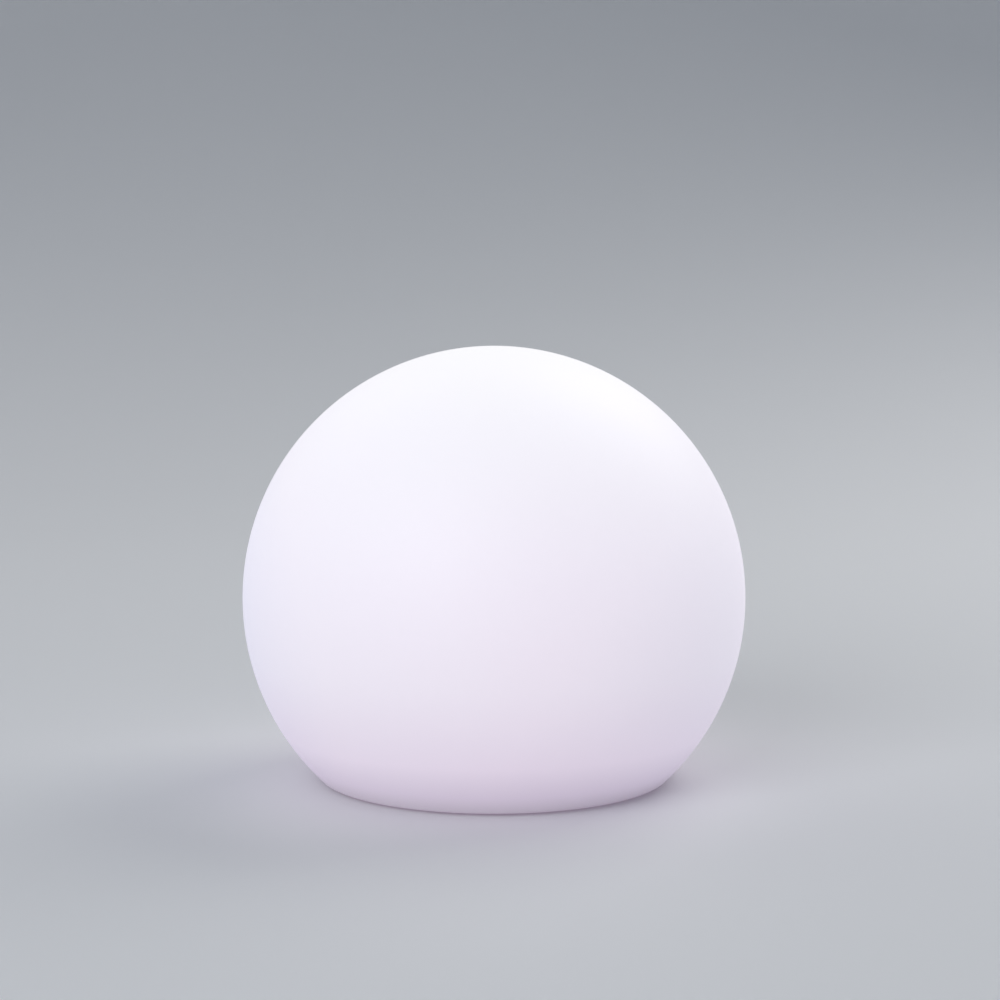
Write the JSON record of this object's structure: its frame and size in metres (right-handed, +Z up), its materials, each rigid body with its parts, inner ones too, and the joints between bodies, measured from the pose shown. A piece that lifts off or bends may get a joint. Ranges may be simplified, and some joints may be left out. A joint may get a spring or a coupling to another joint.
{
  "type": "garden globe light",
  "caption": "Cordless glowing globe light with a flat base, sealed light module, push button and hinged charging cover underneath.",
  "frame": {"origin": "on the resting plane, under the globe's centre, at the underside of the feet", "axes": "+Z up through the globe's top, -Y towards the front, +X to the right seen from the front; the charging cover is towards +Y"},
  "size_m": [0.2, 0.2, 0.1733],
  "materials": {
    "globe": "satin translucent white polyethylene",
    "base": "fine moulded texture, warm white",
    "foot_rubber": "matt, charcoal",
    "button": "satin, grey",
    "cover": "matt, dark grey",
    "silicone": "matt, brick red",
    "gasket": "matt, pale grey",
    "black_rubber": "satin, black",
    "steel": "bright, zinc plated",
    "brass": "knurled, bright",
    "housing": "satin, white",
    "clear": "clear, polished",
    "frosted": "frosted, milky",
    "board": "green solder mask",
    "light_board": "white solder mask",
    "chip": "matt, black",
    "ferrite": "matt, dark grey",
    "capacitor": "satin",
    "connector": "ivory",
    "wire": "satin, red",
    "holder": "matt, black",
    "cell_wrap": "blue shrink film",
    "nickel": "nickel plated",
    "aluminium": "brushed",
    "led": "white body, yellow window",
    "colour_led": "white body, clear window",
    "reflector": "white film"
  },
  "bodies": {
    "lamp": {"globe_shell": "globe", "threaded_inserts": "brass", "base_gasket": "gasket", "base_plate": "base", "base_screws": "steel", "housing_screws": "steel", "rubber_feet": "foot_rubber", "light_pipe": "clear", "tact_switch": "chip", "usb_socket": "nickel", "usb_tongue": "chip", "port_cover_pin": "steel", "module_housing": "housing", "housing_seal": "silicone", "control_board": "board", "board_screws": "steel", "controller_chip": "chip", "charger_chip": "chip", "power_inductor": "ferrite", "capacitors": "capacitor", "status_led": "colour_led", "led_cable_socket": "connector", "led_cable_plug": "connector", "led_cable": "wire", "battery_holder": "holder", "battery_cell": "cell_wrap", "cell_terminal": "nickel", "battery_contacts": "nickel", "battery_strap": "nickel", "heat_spreader": "aluminium", "led_board": "light_board", "led_board_screws": "steel", "colour_leds": "colour_led", "white_leds": "led", "reflector_sheet": "reflector", "lens_dome": "frosted", "lens_seal": "silicone", "lens_screws": "steel"},
    "power_button": {"button_cap": "button", "button_o_ring": "black_rubber", "switch_plunger": "chip"},
    "charging_cover": {"port_cover": "cover", "port_cover_seal": "cover"}
  },
  "joints": [
    {"name": "button_press", "type": "slide", "parent": "lamp", "child": "power_button", "axis": [0, 0, 1], "range_m": [0, 0.0006], "stiffness_N_per_m": 2500, "springref_m": -0.0002},
    {"name": "cover_hinge", "type": "hinge", "parent": "lamp", "child": "charging_cover", "pos_m": [0, 0.0185, 0.0018], "axis": [-1, 0, 0], "range_deg": [0, 95]}
  ]
}
